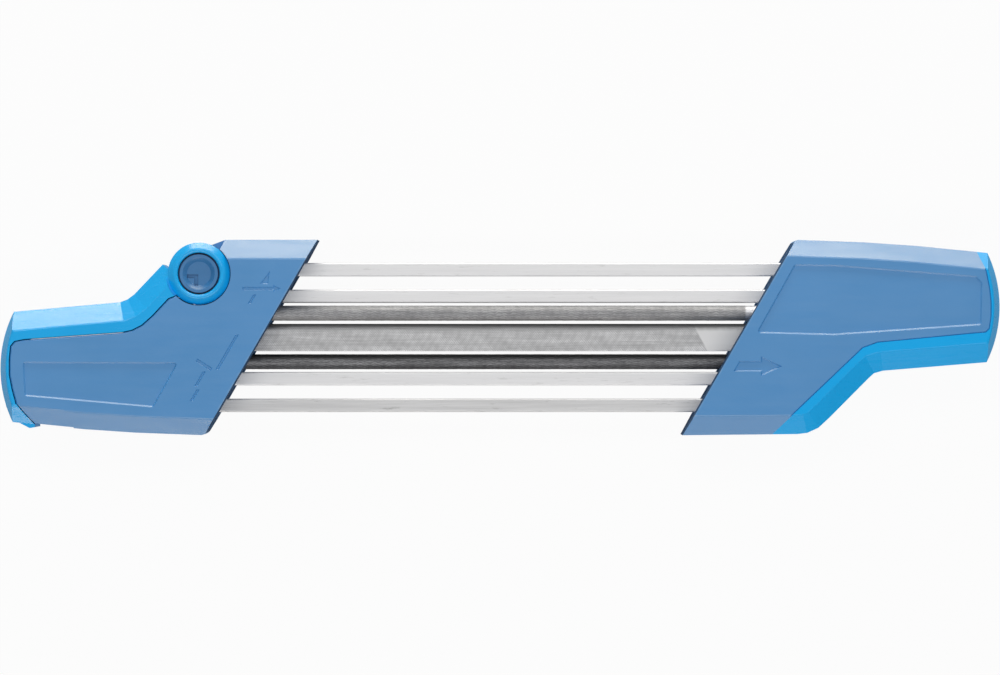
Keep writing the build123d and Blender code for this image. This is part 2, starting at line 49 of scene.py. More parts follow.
# Slanted inner edges of the handles. They cross the X axis this far from the middle.
# A run is the distance from them into the handle, along X, and a height is counted
# from the middle of the thickness.
INNER_EDGE = 80.2 * MM
INNER_EDGE_LEAN = math.radians(30.0)
MIDDLE_HEIGHT = 14.0 * MM
# A lighter rubbed arris along these edges, partly wear and partly a painted edge highlight.
RUBBED_HIGHLIGHT_WIDTH = 0.7 * MM
RUBBED_HIGHLIGHT_FROM, RUBBED_HIGHLIGHT_FULL = 13.2 * MM, 13.9 * MM
# Painted shade on the walls along these edges: dark, rough and hardly shining.
SHADED_RUN, UNSHADED_RUN = 0.03 * MM, 0.09 * MM
SHADED_HEIGHT, UNSHADED_HEIGHT = 13.4 * MM, 13.8 * MM
WALL_SHADE_COLOUR = (0.008, 0.040, 0.110, 1)
WALL_SHADE_WEAK, WALL_SHADE_STRONG = 0.75, 0.90
WALL_SHADE_ROUGHNESS = 1.0
UNSHADED_SPECULAR, WALL_SHADE_SPECULAR = 0.5, 0.1

# Noises. The scale is per metre, one number or one along each axis, and a noise that
# makes spots is 0 below its low value and 1 above its high one.
CLOUDS = dict(scale=34.0, detail=3.0, roughness=0.55, low=0.32, high=0.68)
GRAIN = dict(scale=3600.0, detail=2.0, roughness=0.6)
COARSE_GRAIN = dict(scale=1100.0, detail=2.0, roughness=0.5)
COARSE_GRAIN_SHARE = 0.6
MOULD_FLOW = dict(scale=(60.0, 420.0, 420.0), detail=3.0, roughness=0.6)
RUBBED_SPOTS = dict(scale=190.0, detail=5.0, roughness=0.7, low=0.60, high=0.78)
RUBBED_HIGHLIGHT_GAPS = dict(scale=320.0, detail=4.0, roughness=0.7, low=0.40, high=0.62)
WALL_SHADE_SPOTS = dict(scale=420.0, detail=4.0, roughness=0.6, low=0.25, high=0.60)
FINE_LINES = dict(scale=(70.0, 5200.0, 5200.0), detail=3.0, roughness=0.6)
BROAD_LINES = dict(scale=(22.0, 620.0, 620.0), detail=4.0, roughness=0.6)
STREAK_LOW, STREAK_HIGH = 0.82, 1.22
NICKS = dict(scale=(120.0, 900.0, 900.0), detail=4.0, roughness=0.7, low=0.60, high=0.74)
PAPER_FIBRE = dict(scale=60.0, detail=3.0, roughness=0.5)

# How much these noises change the roughness: up and down, and nicks only up
FLOW_ROUGHNESS = 0.035
GRAIN_ROUGHNESS = 0.04
LINE_ROUGHNESS = 0.07
NICK_ROUGHNESS = 0.2

# Full height of the small relief that is bump only
GRAIN_RELIEF = 0.04 * MM
LINE_RELIEF = 0.03 * MM
RUBBER_RELIEF = 0.08 * MM

# All files: chamfered ends, and how much the slow waves change the tooth height
END_CHAMFER = 0.6 * MM
END_ROWS = 4
TOOTH_LEAST = 0.55
TOOTH_WAVER = 0.9

# Round files. A pitch is the way along the file from tooth to tooth, a rise is the
# share of it over which a tooth climbs, a sway is how many pitches the slow waves
# shift the teeth, and a sink is a share of the depth.
ROUND_ROWS, ROUND_AROUND = 900, 96
ROUND_FLUTES = 20.0
ROUND_PITCH = 5.4 * MM
ROUND_RISE = 0.7
ROUND_SWAY = 1.6
ROUND_CROSS_FLUTES = 3.0
ROUND_CROSS_PITCH = 1.1 * MM
ROUND_CROSS_RISE = 0.6
ROUND_CROSS_SWAY = 1.2
ROUND_CROSS_SHARE = 0.35
ROUND_DEPTH = 0.09 * MM
ROUND_SHANK_SINK = 0.8
ROUND_CUT_BLEND = 0.4 * MM
# Painted shade on the +Y side of a round file: it fades in as the cosine of the angle round the
# file, shifted by the slow waves, goes from the first number to the second.
ROUND_SHADE_FROM, ROUND_SHADE_FULL = 0.05, 0.55
ROUND_SHADE_SWAY = 0.5
FRONT_CUT_END = 82.6 * MM
REAR_CUT_END = 90.0 * MM

# Flat file. The widths of the worn part and of the painted shade count from the +Y edge.
FLAT_ROWS, FLAT_ACROSS, FLAT_UP = 1050, 30, 7
FLAT_ARRIS = 0.25 * MM
ARRIS_STEPS = 3
FLAT_PITCH = 0.72 * MM
FLAT_LEAN = math.radians(40.0)
FLAT_RISE = 0.7
FLAT_CROSS_PITCH = 1.45 * FLAT_PITCH
FLAT_CROSS_LEAN = math.radians(55.0)
FLAT_CROSS_RISE = 0.55
FLAT_CROSS_SHARE = 0.6
FLAT_SWAY = 0.7
FLAT_DEPTH = 0.08 * MM
FLAT_SHANK_SINK = 0.7
FLAT_WORN_WIDTH = 2.1 * MM
FLAT_WORN_DROP = 0.75 * MM
FLAT_CUT_END = 67.5 * MM
FLAT_CUT_SLANT = 2.5 * MM
FLAT_CUT_BLEND = 0.3 * MM
FLAT_SHADE_WIDTH, FLAT_SHADE_FULL_WIDTH = 2.6 * MM, 0.9 * MM
FLAT_SHADE_SWAY = 0.2 * MM
FLAT_SHADE_STRENGTH = 0.95

# Studio and camera. The camera shows this width at this height, which is that of the
# handles' upper walls.
ROOM_STRENGTH = 0.30
FLOOR_REACH = 6.0
FLOOR_CELLS = 8
FLOOR_GLOW_SHARE = 0.95
CAMERA_DISTANCE = 1.5
SENSOR_WIDTH = 36.0
SHOWN_WIDTH = 0.33557
SHOWN_HEIGHT = 23.0 * MM


# ---------------------------------------------------------------- node helpers

COLOUR = "NodeSocketColor"
NUMBER = "NodeSocketFloat"

# Places of the colour sockets on a mix node, where several share a name
MIX_FIRST, MIX_SECOND, MIX_RESULT = 6, 7, 2


def add_node(tree, kind, **settings):
    """Add a shader node and set its properties by name."""
    node = tree.nodes.new(kind)
    for name, value in settings.items():
        setattr(node, name, value)
    return node


def set_inputs(node, **values):
    """Set input sockets by name; an underscore stands for a space."""
    for name, value in values.items():
        node.inputs[name.replace("_", " ")].default_value = value
    return node


def feed(tree, value, socket):
    """Give a socket a value: another socket is linked to it, and a number or colour
    becomes its constant."""
    if isinstance(value, bpy.types.NodeSocket):
        tree.links.new(value, socket)
    else:
        socket.default_value = value


def start_group(name, inputs, outputs):
    """Empty shader node group with named sockets, and its two end nodes."""
    group = bpy.data.node_groups.new(name, "ShaderNodeTree")
    for label, kind, value in inputs:
        socket = group.interface.new_socket(name=label, in_out="INPUT", socket_type=kind)
        socket.default_value = value
    for label, kind in outputs:
        group.interface.new_socket(name=label, in_out="OUTPUT", socket_type=kind)
    return group, group.nodes.new("NodeGroupInput"), group.nodes.new("NodeGroupOutput")


def noise(tree, vector, scale, detail, roughness):
    """Noise texture on given coordinates. Three scales stretch it, one along each
    axis."""
    if isinstance(scale, tuple):
        stretch = set_inputs(add_node(tree, "ShaderNodeMapping"), Scale=scale)
        tree.links.new(vector, stretch.inputs["Vector"])
        vector, scale = stretch.outputs["Vector"], 1.0
    node = add_node(tree, "ShaderNodeTexNoise")
    set_inputs(node, Scale=scale, Detail=detail, Roughness=roughness)
    tree.links.new(vector, node.inputs["Vector"])
    return node.outputs["Fac"]


def remap(tree, value, low, high, new_low=0.0, new_high=1.0):
    """Clamped linear change of range of a value, to 0 to 1 unless said."""
    node = add_node(tree, "ShaderNodeMapRange")
    for label, end in (("Value", value), ("From Min", low), ("From Max", high),
                       ("To Min", new_low), ("To Max", new_high)):
        feed(tree, end, node.inputs[label])
    return node.outputs["Result"]


def spots(tree, vector, low, high, least=0.0, most=1.0, **settings):
    """Noise as a mask: least where it is below low, most where it is above high."""
    return remap(tree, noise(tree, vector, **settings), low, high, least, most)


def swing(tree, value, reach):
    """Minus reach to plus reach, as a noise goes over its middle range, 0.3 to 0.7."""
    return remap(tree, value, 0.3, 0.7, -reach, reach)


def maths(tree, operation, first, second=0.0):
    """Math node on two values, each a number or a socket."""
    node = add_node(tree, "ShaderNodeMath", operation=operation)
    feed(tree, first, node.inputs[0])
    feed(tree, second, node.inputs[1])
    return node.outputs["Value"]


def mix_colour(tree, mask, first, second):
    """Mix from the first colour to the second; each is a socket or four numbers."""
    node = add_node(tree, "ShaderNodeMix", data_type="RGBA")
    tree.links.new(mask, node.inputs["Factor"])
    feed(tree, first, node.inputs[MIX_FIRST])
    feed(tree, second, node.inputs[MIX_SECOND])
    return node.outputs[MIX_RESULT]


def mix_shaders(tree, mask, first, second, end):
    """Mix from the first shader to the second, into the surface of the end node."""
    blend = add_node(tree, "ShaderNodeMixShader")
    tree.links.new(mask, blend.inputs["Fac"])
    tree.links.new(first, blend.inputs[1])
    tree.links.new(second, blend.inputs[2])
    tree.links.new(blend.outputs["Shader"], tree.nodes[end].inputs["Surface"])


# -------------------------------------------------------------- shared effects

def build_moulded_skin():
    """Moulded plastic: cloudy colour, fine spark grain, and faint rubbed spots."""
    group, entry, finish = start_group(
        "moulded_skin",
        [("Colour", COLOUR, (0.1, 0.3, 0.6, 1.0)),
         ("Cloud Colour", COLOUR, (0.1, 0.3, 0.6, 1.0)),
         ("Rubbed Colour", COLOUR, (0.3, 0.5, 0.8, 1.0)),
         ("Roughness", NUMBER, 0.4),
         ("Rubbed Share", NUMBER, 0.2)],
        [("Colour", COLOUR), ("Roughness", NUMBER), ("Grain Height", NUMBER)])
    place = add_node(group, "ShaderNodeTexCoord").outputs["Object"]
    cloud = spots(group, place, **CLOUDS)
    grain = noise(group, place, **GRAIN)
    coarse = noise(group, place, **COARSE_GRAIN)
    flow = noise(group, place, **MOULD_FLOW)
    rub = maths(group, "MULTIPLY", spots(group, place, **RUBBED_SPOTS),
                entry.outputs["Rubbed Share"])
    colour = mix_colour(group, cloud, entry.outputs["Colour"], entry.outputs["Cloud Colour"])
    colour = mix_colour(group, rub, colour, entry.outputs["Rubbed Colour"])
    rough = maths(group, "ADD", entry.outputs["Roughness"],
                  swing(group, flow, FLOW_ROUGHNESS))
    rough = maths(group, "ADD", rough, swing(group, grain, GRAIN_ROUGHNESS))
    height = maths(group, "ADD", grain, maths(group, "MULTIPLY", coarse, COARSE_GRAIN_SHARE))
    group.links.new(colour, finish.inputs["Colour"])
    group.links.new(rough, finish.inputs["Roughness"])
    group.links.new(height, finish.inputs["Grain Height"])
    return group


def build_edge_wear_highlight_and_shade():
    """Two marks along the slanted inner edges of the handles: a lighter line where the
    arris has been rubbed, near both faces, partly wear and partly a painted edge
    highlight, and painted shade on the walls that the rails come out of. Both are
    broken up by noise."""
    group, entry, finish = start_group(
        "edge_wear_highlight_and_shade",
        [("Width", NUMBER, RUBBED_HIGHLIGHT_WIDTH), ("Inner Edge", NUMBER, INNER_EDGE)],
        [("Mask", NUMBER), ("Wall Shade", NUMBER)])
    place = add_node(group, "ShaderNodeTexCoord").outputs["Object"]
    parts = add_node(group, "ShaderNodeSeparateXYZ")
    group.links.new(place, parts.inputs["Vector"])
    lean = maths(group, "MULTIPLY", parts.outputs["Y"], math.tan(INNER_EDGE_LEAN))
    along = maths(group, "ABSOLUTE", maths(group, "SUBTRACT", parts.outputs["X"], lean))
    run = maths(group, "SUBTRACT", along, entry.outputs["Inner Edge"])
    height = maths(group, "ABSOLUTE", maths(group, "SUBTRACT", parts.outputs["Z"], MIDDLE_HEIGHT))
    # Lighter rubbed arris near both faces: partly wear, partly a painted edge highlight.
    near = remap(group, run, 0.0, entry.outputs["Width"], 1.0, 0.0)
    face = remap(group, height, RUBBED_HIGHLIGHT_FROM, RUBBED_HIGHLIGHT_FULL)
    mask = maths(group, "MULTIPLY", maths(group, "MULTIPLY", near, face),
                 spots(group, place, **RUBBED_HIGHLIGHT_GAPS))
    # Painted shade on the walls next to the inner edge, away from both faces, broken up by noise.
    wall = maths(group, "MULTIPLY", remap(group, run, SHADED_RUN, UNSHADED_RUN, 1.0, 0.0),
                 remap(group, height, SHADED_HEIGHT, UNSHADED_HEIGHT, 1.0, 0.0))
    shade_breakup = spots(group, place, least=WALL_SHADE_WEAK, most=WALL_SHADE_STRONG, **WALL_SHADE_SPOTS)
    group.links.new(mask, finish.inputs["Mask"])
    group.links.new(maths(group, "MULTIPLY", wall, shade_breakup), finish.inputs["Wall Shade"])
    return group


def build_drawn_metal():
    """Drawn or ground bar: long fine streaks along X, short nicks and dull spots."""
    group, entry, finish = start_group(
        "drawn_metal",
        [("Colour", COLOUR, (0.7, 0.7, 0.7, 1.0)),
         ("Streak Colour", COLOUR, (0.4, 0.4, 0.4, 1.0)),
         ("Mark Colour", COLOUR, (0.2, 0.2, 0.2, 1.0)),
         ("Roughness", NUMBER, 0.3),
         ("Streaks", NUMBER, 0.5),
         ("Marks", NUMBER, 0.3)],
        [("Colour", COLOUR), ("Roughness", NUMBER), ("Line Height", NUMBER)])
    place = add_node(group, "ShaderNodeTexCoord").outputs["Object"]
    fine = noise(group, place, **FINE_LINES)
    broad = noise(group, place, **BROAD_LINES)
    streak = remap(group, maths(group, "ADD", fine, broad), STREAK_LOW, STREAK_HIGH)
    streak = maths(group, "MULTIPLY", streak, entry.outputs["Streaks"])
    mark = maths(group, "MULTIPLY", spots(group, place, **NICKS), entry.outputs["Marks"])
    colour = mix_colour(group, streak, entry.outputs["Colour"], entry.outputs["Streak Colour"])
    colour = mix_colour(group, mark, colour, entry.outputs["Mark Colour"])
    rough = maths(group, "ADD", entry.outputs["Roughness"],
                  swing(group, fine, LINE_ROUGHNESS))
    rough = maths(group, "ADD", rough, maths(group, "MULTIPLY", mark, NICK_ROUGHNESS))
    group.links.new(colour, finish.inputs["Colour"])
    group.links.new(rough, finish.inputs["Roughness"])
    group.links.new(fine, finish.inputs["Line Height"])
    return group


MOULDED_SKIN = build_moulded_skin()
EDGE_WEAR_HIGHLIGHT_AND_SHADE = build_edge_wear_highlight_and_shade()
DRAWN_METAL = build_drawn_metal()


# ------------------------------------------------------------------- materials

def start_material(name):
    """New material, its node tree and its Principled shader."""
    material = bpy.data.materials.new(name)
    material.use_nodes = True
    tree = material.node_tree
    return material, tree, tree.nodes["Principled BSDF"]


def place_group(tree, group, **values):
    """Group node in a material, with its own input values."""
    node = add_node(tree, "ShaderNodeGroup", node_tree=group)
    return set_inputs(node, **values)


def add_bump(tree, shader, height, strength, distance):
    """Bump from a height that changes over the surface."""
    bump = add_node(tree, "ShaderNodeBump")
    set_inputs(bump, Strength=strength, Distance=distance)
    tree.links.new(height, bump.inputs["Height"])
    tree.links.new(bump.outputs["Normal"], shader.inputs["Normal"])


def handle_plastic(name, colour, cloud, rubbed, roughness, rubbed_share, ior, sheen,
                   inner_edge=False):
    """Moulded handle plastic. A piece that reaches the slanted inner edges also has
    lighter rubbed arrises there, partly wear and partly a painted edge highlight, and
    painted shade on the walls, which is dark, rough and hardly shines."""
    material, tree, shader = start_material(name)
    skin = place_group(tree, MOULDED_SKIN, Colour=colour, Cloud_Colour=cloud,
                       Rubbed_Colour=rubbed, Roughness=roughness, Rubbed_Share=rubbed_share)
    final, rough = skin.outputs["Colour"], skin.outputs["Roughness"]
    if inner_edge:
        edge_marks = place_group(tree, EDGE_WEAR_HIGHLIGHT_AND_SHADE)
        wall_shade = edge_marks.outputs["Wall Shade"]
        # Rubbed arris, partly wear and partly a painted edge highlight.
        final = mix_colour(tree, edge_marks.outputs["Mask"], final, rubbed)
        # Painted shade on the inner walls, which also takes away their shine.
        final = mix_colour(tree, wall_shade, final, WALL_SHADE_COLOUR)
        rough = remap(tree, wall_shade, 0.0, 1.0, rough, WALL_SHADE_ROUGHNESS)
        specular = remap(tree, wall_shade, 0.0, 1.0, UNSHADED_SPECULAR, WALL_SHADE_SPECULAR)
        tree.links.new(specular, shader.inputs["Specular IOR Level"])
    tree.links.new(final, shader.inputs["Base Color"])
    tree.links.new(rough, shader.inputs["Roughness"])
    add_bump(tree, shader, skin.outputs["Grain Height"], strength=0.25, distance=GRAIN_RELIEF)
    set_inputs(shader, IOR=ior, Specular_Tint=sheen)
    return material


def bar_metal(name, colour, streak, mark, roughness, streaks, marks, metallic):
    """Ground or drawn metal with streaks along the tool."""
    material, tree, shader = start_material(name)
    bar = place_group(tree, DRAWN_METAL, Colour=colour, Streak_Colour=streak,
                      Mark_Colour=mark, Roughness=roughness, Streaks=streaks, Marks=marks)
    tree.links.new(bar.outputs["Colour"], shader.inputs["Base Color"])
    tree.links.new(bar.outputs["Roughness"], shader.inputs["Roughness"])
    add_bump(tree, shader, bar.outputs["Line Height"], strength=0.3, distance=LINE_RELIEF)
    set_inputs(shader, Metallic=metallic)
    return material


def cut_file_metal(name, crest, groove, shank, scale, roughness):
    """File steel: bright crests and dark grooves by the 'tooth' attribute, a ground
    shank by the 'shank' attribute and painted shade by the 'scale' attribute."""
    material, tree, shader = start_material(name)
    tooth, smooth, file_shade = (
        add_node(tree, "ShaderNodeAttribute", attribute_name=label).outputs["Fac"]
        for label in ("tooth", "shank", "scale"))
    groove_bar = place_group(tree, DRAWN_METAL, Colour=groove, Streak_Colour=groove,
                             Mark_Colour=groove, Roughness=roughness, Streaks=0.4, Marks=0.5)
    crest_bar = place_group(tree, DRAWN_METAL, Colour=crest, Streak_Colour=groove,
                            Mark_Colour=groove, Roughness=roughness, Streaks=0.6, Marks=0.6)
    shank_bar = place_group(tree, DRAWN_METAL, Colour=shank, Streak_Colour=crest,
                            Mark_Colour=crest, Roughness=0.5, Streaks=0.4, Marks=0.3)
    colour = mix_colour(tree, tooth, groove_bar.outputs["Colour"], crest_bar.outputs["Colour"])
    colour = mix_colour(tree, smooth, colour, shank_bar.outputs["Colour"])
    # The 'scale' attribute and colour are painted shade on the steel.
    colour = mix_colour(tree, file_shade, colour, scale)
    rough = remap(tree, smooth, 0.0, 1.0, groove_bar.outputs["Roughness"],
                  shank_bar.outputs["Roughness"])
    tree.links.new(colour, shader.inputs["Base Color"])
    tree.links.new(rough, shader.inputs["Roughness"])
    add_bump(tree, shader, crest_bar.outputs["Line Height"], strength=0.2,
             distance=LINE_RELIEF)
    set_inputs(shader, Metallic=0.9)
    return material


def stop_rubber_material():
    """Dark rubber with a dusty bloom and a fine rough skin."""
    material, tree, shader = start_material("stop_rubber")
    skin = place_group(tree, MOULDED_SKIN, Colour=(0.012, 0.012, 0.013, 1),
                       Cloud_Colour=(0.02, 0.02, 0.021, 1),
                       Rubbed_Colour=(0.07, 0.07, 0.068, 1), Roughness=0.7, Rubbed_Share=0.5)
    tree.links.new(skin.outputs["Colour"], shader.inputs["Base Color"])
    tree.links.new(skin.outputs["Roughness"], shader.inputs["Roughness"])
    add_bump(tree, shader, skin.outputs["Grain Height"], strength=0.5, distance=RUBBER_RELIEF)
    return material


MUTED_SHEEN = (1.0, 0.87, 0.58, 1)
BRIGHT_BLUE = dict(colour=(0.002, 0.420, 0.900, 1), cloud=(0.003, 0.440, 0.930, 1),
                   rubbed=(0.06, 0.55, 0.95, 1), rubbed_share=0.08,
                   sheen=(1.0, 0.87, 0.65, 1))

SHELL_PLASTIC = handle_plastic(
    "shell_plastic", colour=(0.054, 0.272, 0.610, 1), cloud=(0.064, 0.288, 0.640, 1),
    rubbed=(0.16, 0.38, 0.68, 1), roughness=0.36, rubbed_share=0.10, ior=1.90,
    sheen=MUTED_SHEEN, inner_edge=True)
COVER_PLASTIC = handle_plastic("cover_plastic", roughness=0.24, ior=1.62, **BRIGHT_BLUE)
TRIM_PLASTIC = handle_plastic("trim_plastic", roughness=0.30, ior=1.42, **BRIGHT_BLUE)
# A darker copy of the shell plastic: painted shade for the buttons, which sit sunk in their dish.
SHADED_BUTTON_PLASTIC = handle_plastic(
    "shaded_button_plastic", colour=(0.036, 0.196, 0.455, 1), cloud=(0.044, 0.212, 0.485, 1),
    rubbed=(0.13, 0.33, 0.62, 1), roughness=0.34, rubbed_share=0.12, ior=1.75,
    sheen=MUTED_SHEEN)
RAIL_METAL = bar_metal(
    "rail_metal", colour=(0.88, 0.88, 0.89, 1), streak=(0.78, 0.78, 0.79, 1),
    mark=(0.42, 0.41, 0.40, 1), roughness=0.50, streaks=0.55, marks=0.35, metallic=0.6)
WORN_RAIL_METAL = bar_metal(
    "worn_rail_metal", colour=(0.76, 0.76, 0.765, 1), streak=(0.60, 0.60, 0.605, 1),
    mark=(0.30, 0.30, 0.295, 1), roughness=0.46, streaks=0.75, marks=0.60, metallic=0.6)
PIN_METAL = bar_metal(
    "pin_metal", colour=(0.62, 0.62, 0.63, 1), streak=(0.50, 0.50, 0.51, 1),
    mark=(0.25, 0.24, 0.23, 1), roughness=0.28, streaks=0.5, marks=0.4, metallic=1.0)
CARRIER_METAL = bar_metal(
    "carrier_metal", colour=(0.66, 0.67, 0.69, 1), streak=(0.56, 0.57, 0.59, 1),
    mark=(0.35, 0.35, 0.36, 1), roughness=0.45, streaks=0.4, marks=0.3, metallic=1.0)
# Each file's 'scale' colour is painted shade.
FRONT_FILE_METAL = cut_file_metal(
    "front_file_metal", crest=(0.47, 0.47, 0.48, 1), groove=(0.22, 0.22, 0.225, 1),
    shank=(0.70, 0.70, 0.72, 1), scale=(0.10, 0.10, 0.10, 1), roughness=0.60)
FLAT_FILE_METAL = cut_file_metal(
    "flat_file_metal", crest=(0.84, 0.84, 0.85, 1), groove=(0.38, 0.38, 0.385, 1),
    shank=(0.80, 0.80, 0.80, 1), scale=(0.12, 0.12, 0.122, 1), roughness=0.50)
# A darker copy of the file steel: painted shade for the rear file, which lies lower, in the
# shadow of its neighbours.
SHADED_REAR_FILE_METAL = cut_file_metal(
    "shaded_rear_file_metal", crest=(0.30, 0.30, 0.31, 1), groove=(0.08, 0.08, 0.082, 1),
    shank=(0.34, 0.34, 0.35, 1), scale=(0.035, 0.035, 0.036, 1), roughness=0.52)
STOP_RUBBER = stop_rubber_material()

FINISHES = {
    "left_front_shell": SHELL_PLASTIC, "left_rear_shell": SHELL_PLASTIC,
    "right_front_shell": SHELL_PLASTIC, "right_rear_shell": SHELL_PLASTIC,
    "pivot_button_front": SHADED_BUTTON_PLASTIC, "pivot_button_rear": SHADED_BUTTON_PLASTIC,
    "locking_cover": COVER_PLASTIC, "right_end_trim": TRIM_PLASTIC,
    "outer_rail_upper": RAIL_METAL, "inner_rail_upper": RAIL_METAL,
    "inner_rail_lower": RAIL_METAL, "outer_rail_lower": WORN_RAIL_METAL,
    "left_rail_pins": PIN_METAL, "right_rail_pins": PIN_METAL,
    "cover_pivot_pin": PIN_METAL, "file_clamp": PIN_METAL,
    "left_rail_carrier": CARRIER_METAL, "right_rail_carrier": CARRIER_METAL,
    "file_stop": STOP_RUBBER,
}


def finish_nodes():
    """Give every shown CAD node its own finish."""
    for name, material in FINISHES.items():
        mesh = NODES[name].data
        mesh.materials.clear()
        mesh.materials.append(material)


# ----------------------------------------------------------------- mesh helpers

def skin_over_rings(name, rings, values):
    """Closed skin over rings[i, j] = point j of ring i. Neighbouring rings are joined
    by quads, and each end ring by triangles to a pole at its mean point. values are
    arrays of one number per ring point, kept as attributes of that name."""
    count, around = rings.shape[:2]
    poles = np.stack([rings[0].mean(axis=0), rings[-1].mean(axis=0)])
    points = np.concatenate([rings.reshape(-1, 3), poles])
    row, here = np.meshgrid(np.arange(count - 1) * around, np.arange(around), indexing="ij")
    there = (here + 1) % around
    quads = np.stack([row + here, row + there, row + around + there, row + around + here],
                     axis=-1).reshape(-1, 4)
    here, there = here[0], there[0]
    first = np.full(around, count * around)
    last = first + 1
    base = (count - 1) * around
    ends = np.concatenate([np.stack([first, there, here], axis=1),
                           np.stack([last, base + here, base + there], axis=1)])
    corners = np.concatenate([quads.ravel(), ends.ravel()])
    starts = np.concatenate([np.arange(len(quads)) * 4,
                             len(quads) * 4 + np.arange(len(ends)) * 3])
    mesh = bpy.data.meshes.new(name)
    mesh.vertices.add(len(points))
    mesh.vertices.foreach_set("co", points.astype(np.float32).ravel())
    mesh.loops.add(len(corners))
    mesh.loops.foreach_set("vertex_index", corners.astype(np.int32))
    mesh.polygons.add(len(starts))
    mesh.polygons.foreach_set("loop_start", starts.astype(np.int32))
    mesh.polygons.foreach_set("use_smooth", np.ones(len(starts), bool))
    mesh.update(calc_edges=True)
    for label, numbers in values.items():
        full = np.concatenate([numbers.ravel(), [numbers[0].mean(), numbers[-1].mean()]])
        layer = mesh.attributes.new(label, "FLOAT", "POINT")
        layer.data.foreach_set("value", full.astype(np.float32))
    piece = bpy.data.objects.new(name, mesh)
    bpy.context.scene.collection.objects.link(piece)
    return piece


def saw_tooth(turns, rise):
    """Tooth wave of height 0 to 1: a slow rise over the share 'rise' of each turn and
    a steep fall over the rest."""
    part = turns - np.floor(turns)
    return np.where(part < rise, part / rise, (1.0 - part) / (1.0 - rise))


def uneven(along, turn):
    """Slow unevenness of the cutting, between 0 and 1: the mean of four sine waves of
    unlike length over the place along the file, in mm, and the turn round it."""
    x = along / MM
    wave = (np.sin(0.53 * x + 2.0 * np.sin(turn)) + np.sin(1.31 * x + 3.0 * np.cos(turn) + 1.0)
            + np.sin(2.57 * x - 4.0 * np.sin(turn + 0.7)) + np.sin(0.171 * x + 2.0 * turn))
    return 0.5 + wave / 8.0


def smooth_step(value, low, high):
    """0 below low, 1 above high and the cubic 3t^2 - 2t^3 between."""
    share = np.clip((value - low) / (high - low), 0.0, 1.0)
    return share * share * (3.0 - 2.0 * share)


def end_shrink(along, low, high):
    """How far a file's skin lies inside its full section near its two ends: the
    chamfer, less the distance from the nearest end."""
    nearest = np.minimum(along - low, high - along)
    return np.clip(END_CHAMFER - nearest, 0.0, END_CHAMFER)


def length_rows(low, high, count):
    """Places of a file's rings: close ones over each chamfered end, and count even
    ones between."""
    return np.concatenate([np.linspace(low, low + END_CHAMFER, END_ROWS)[:-1],
                           np.linspace(low + END_CHAMFER, high - END_CHAMFER, count),
                           np.linspace(high - END_CHAMFER, high, END_ROWS)[1:]])


def tooth_height(first, second, second_share, waver):
    """Height of a double cut, 0 to 1: the square root of first * (1 - share + share *
    second), times a strength that grows with the slow waves, and limited to 1."""
    crossed = first * (1.0 - second_share + second_share * second)
    return np.clip(np.sqrt(crossed) * (TOOTH_LEAST + TOOTH_WAVER * waver), 0.0, 1.0)


def cut_depth(depth, tooth, shank, shank_sink):
    """How far the surface lies under the crests: depth * (1 - tooth) on the cut, and
    depth * sink on the plain shank."""
    return depth * ((1.0 - tooth) * (1.0 - shank) + shank_sink * shank)


# ------------------------------------------------------------------- the files

def cut_round_file(node, name, body, cut_end, material, shade_share):
    """Round file on the axis of its CAD solid. A point at angle a and place x has the
    radius R - depth * (1 - tooth). The tooth height comes from one saw wave on steep
    flutes, x / pitch + flutes * a / turn, and a weaker saw wave that crosses them, and
    both are made uneven by slow waves. Beyond the cut end the shank is plain, and
    both ends are chamfered. Painted shade of the strength given, kept in the 'scale'
    attribute, darkens the +Y side."""
    low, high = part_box(node)
    radius = (high.y - low.y) / 2
    centre_y, centre_z = (low.y + high.y) / 2, (low.z + high.z) / 2
    turn = np.linspace(0.0, 1.0, ROUND_AROUND, endpoint=False)
    along, around = np.meshgrid(length_rows(low.x, high.x, ROUND_ROWS), turn, indexing="ij")
    angle = 2.0 * np.pi * around
    waver = uneven(along, angle)
    flute = saw_tooth(along / ROUND_PITCH + ROUND_FLUTES * around + ROUND_SWAY * waver,
                      ROUND_RISE)
    cross = saw_tooth(along / ROUND_CROSS_PITCH - ROUND_CROSS_FLUTES * around
                      - ROUND_CROSS_SWAY * waver, ROUND_CROSS_RISE)
    tooth = tooth_height(flute, cross, ROUND_CROSS_SHARE, waver)
    shank = smooth_step(along, cut_end - ROUND_CUT_BLEND, cut_end + ROUND_CUT_BLEND)
    reach = (radius - cut_depth(ROUND_DEPTH, tooth, shank, ROUND_SHANK_SINK)
             - end_shrink(along, low.x, high.x))
    rings = np.stack([along, centre_y + reach * np.cos(angle),
                      centre_z + reach * np.sin(angle)], axis=-1)
    # Painted shade on the +Y side, kept in the 'scale' attribute.
    scale = shade_share * smooth_step(np.cos(angle) + ROUND_SHADE_SWAY * (waver - 0.5),
                                 ROUND_SHADE_FROM, ROUND_SHADE_FULL)
    piece = skin_over_rings(name, rings, {"tooth": tooth, "shank": shank, "scale": scale})
    piece.data.materials.append(material)
    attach(piece, body)
    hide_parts(node)


